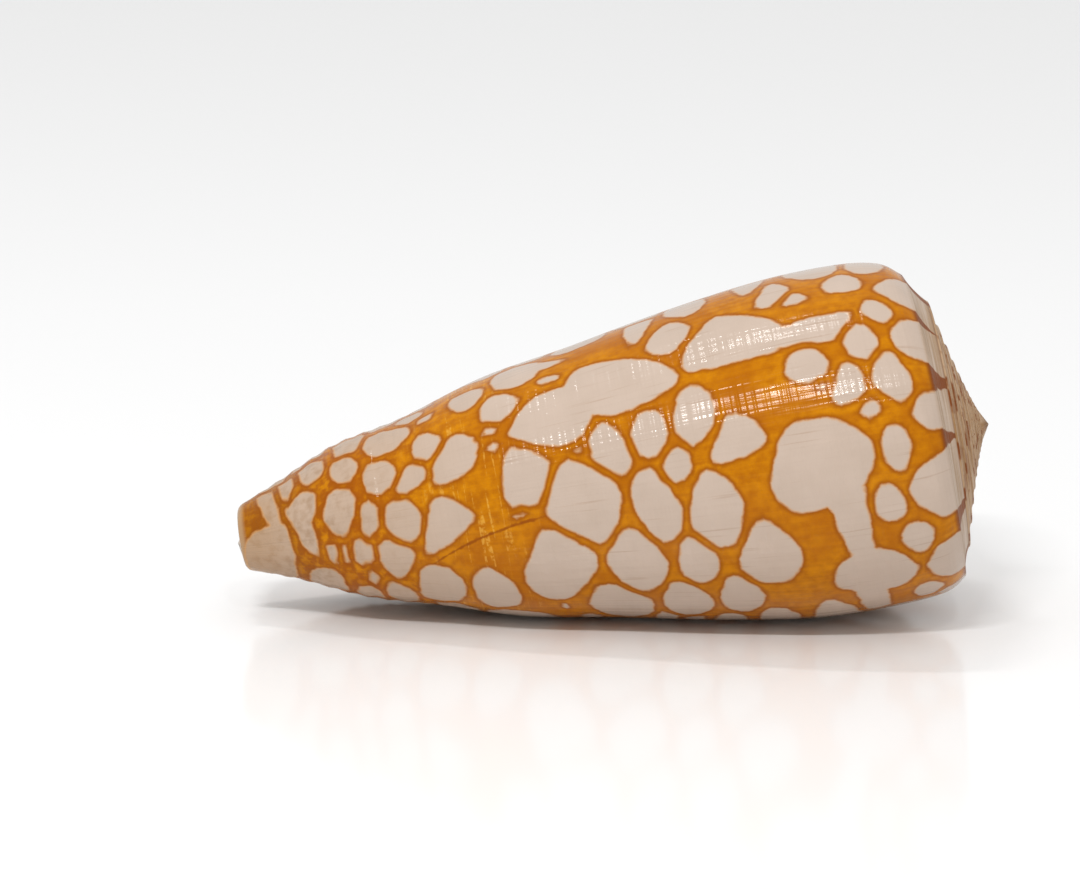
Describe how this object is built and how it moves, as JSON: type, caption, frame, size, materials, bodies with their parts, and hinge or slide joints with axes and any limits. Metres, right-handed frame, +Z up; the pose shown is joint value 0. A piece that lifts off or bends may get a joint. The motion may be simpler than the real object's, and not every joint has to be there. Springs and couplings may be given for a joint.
{
  "type": "cone shell",
  "caption": "Empty tent-marked cone shell: a long tapering body with a low pointed spire and a narrow slit aperture along its underside.",
  "frame": {"origin": "on the surface the shell rests on, under the middle of its bounding box", "axes": "+X from the narrow anterior end to the spire, +Z up with the shell lying aperture down, +Y towards the side the outer lip is on"},
  "size_m": [0.06, 0.0292, 0.0284],
  "materials": {
    "shell": "gloss"
  },
  "bodies": {
    "root": {"shell": "shell"}
  },
  "joints": []
}
